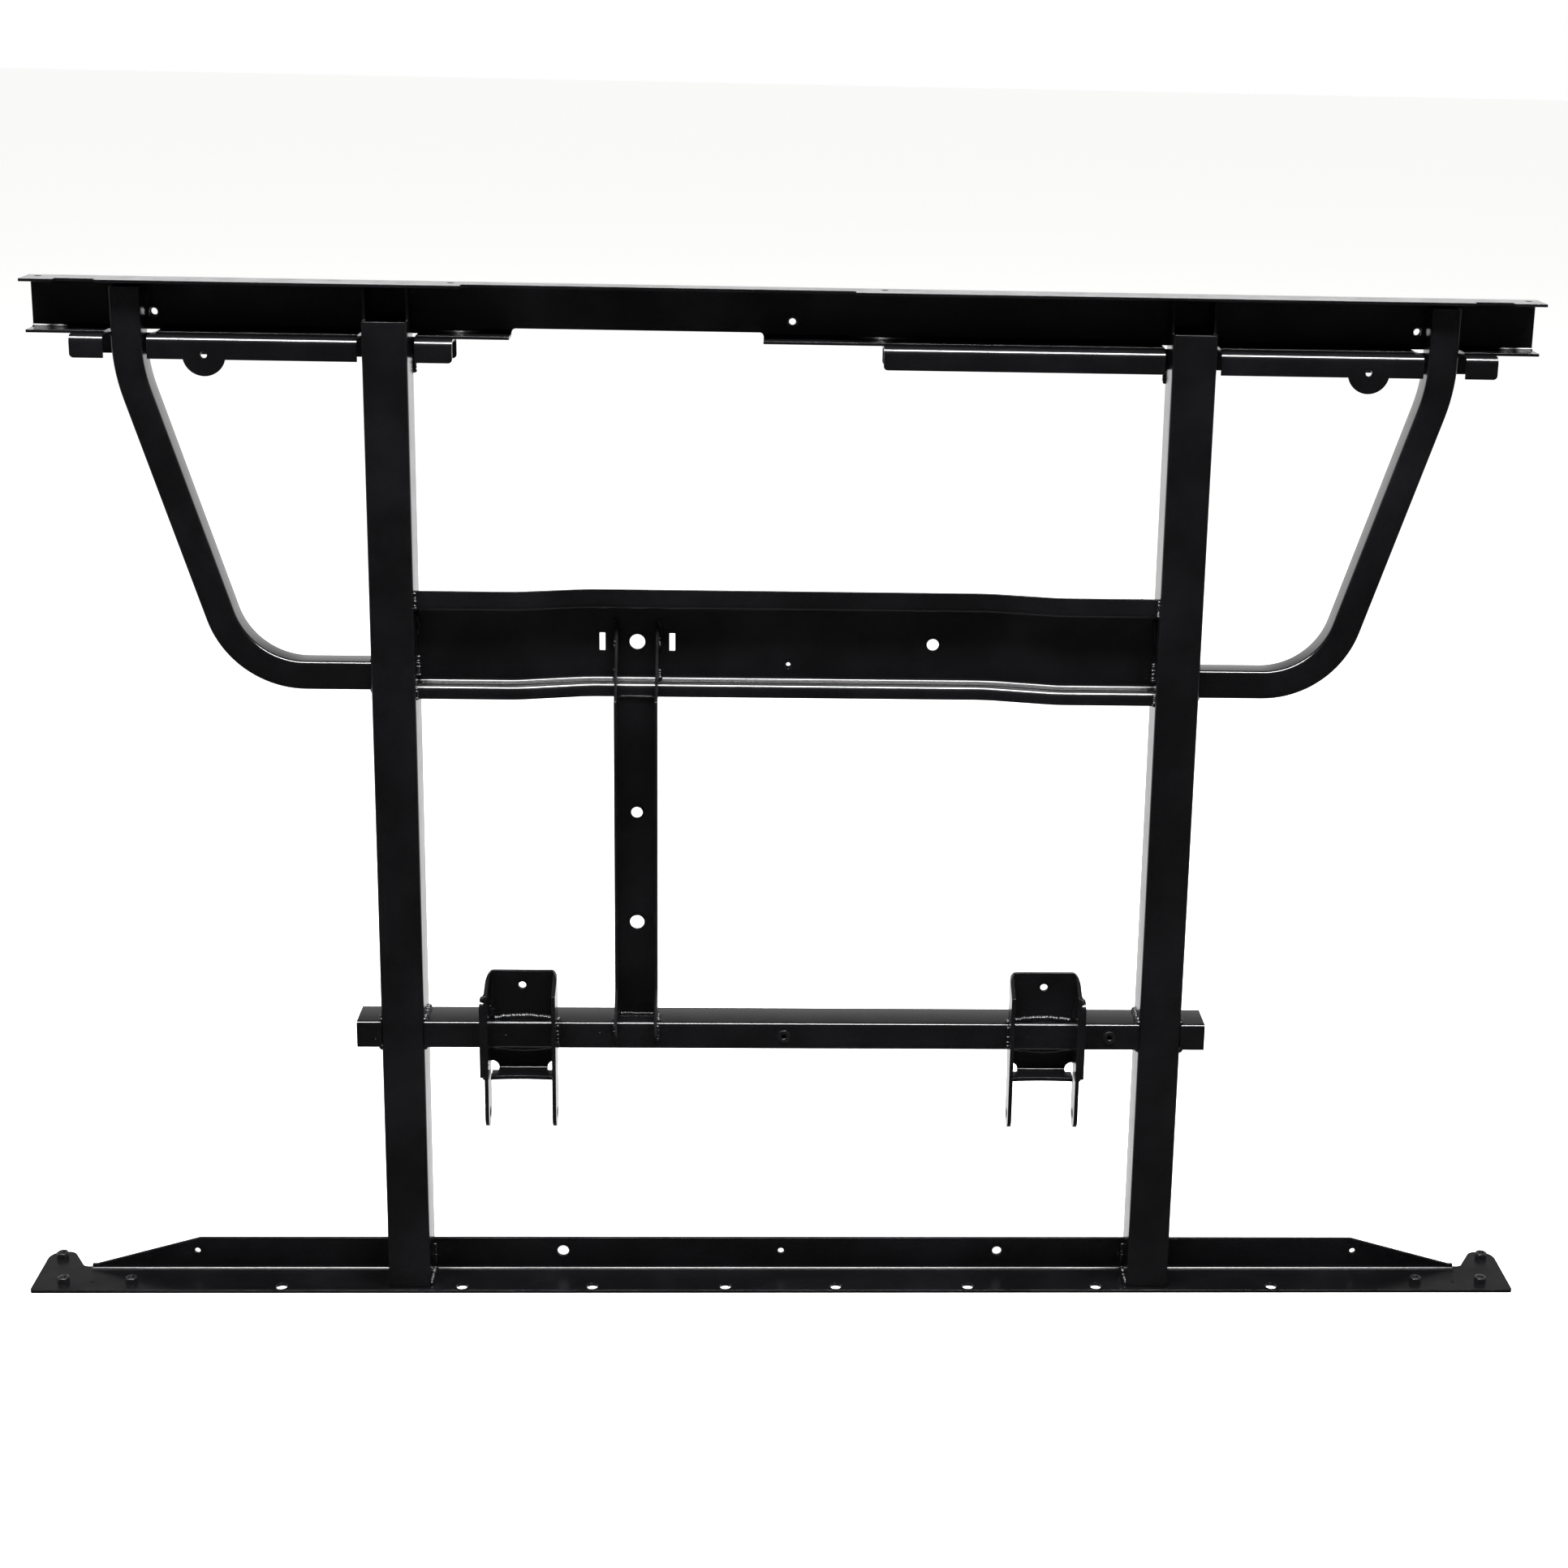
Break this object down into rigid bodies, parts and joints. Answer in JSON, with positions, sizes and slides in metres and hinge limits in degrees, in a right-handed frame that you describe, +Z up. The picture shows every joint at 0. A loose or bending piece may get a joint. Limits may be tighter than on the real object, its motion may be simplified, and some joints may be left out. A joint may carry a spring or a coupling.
{
  "type": "cargo box support frame",
  "caption": "Ladder-like welded support frame for a tipping cargo box: square-tube rails, bent side tubes, folded cross members and two hinge brackets.",
  "frame": {"origin": "middle of the rear angle's underside, on the rails' middle plane and the frame's middle plane", "axes": "+X across the frame, +Z up the rails from the rear angle to the front beam, -Y towards the open underside face"},
  "size_m": [1.372, 0.0911, 0.925],
  "materials": {
    "powder_coated_steel": "semi-gloss black powder coat with fine orange peel",
    "coated_weld_nut": "black powder coat over a weld nut",
    "plated_rivet_nut": "dark zinc plating"
  },
  "bodies": {
    "root": {"front_beam": "powder_coated_steel", "lower_channel_left": "powder_coated_steel", "lower_channel_right": "powder_coated_steel", "rail_left": "powder_coated_steel", "rail_right": "powder_coated_steel", "side_tube_left": "powder_coated_steel", "side_tube_right": "powder_coated_steel", "mid_channel": "powder_coated_steel", "latch_strut": "powder_coated_steel", "pivot_tube": "powder_coated_steel", "pivot_stub_left": "powder_coated_steel", "pivot_stub_right": "powder_coated_steel", "hinge_bracket_left": "powder_coated_steel", "hinge_bracket_right": "powder_coated_steel", "hinge_doubler_left": "powder_coated_steel", "hinge_doubler_right": "powder_coated_steel", "rear_angle": "powder_coated_steel", "front_beam_weld_nuts": "coated_weld_nut", "mid_channel_weld_nut": "coated_weld_nut", "rear_weld_nuts_left": "coated_weld_nut", "rear_weld_nuts_right": "coated_weld_nut", "pivot_rivet_nuts": "plated_rivet_nut"}
  },
  "joints": []
}
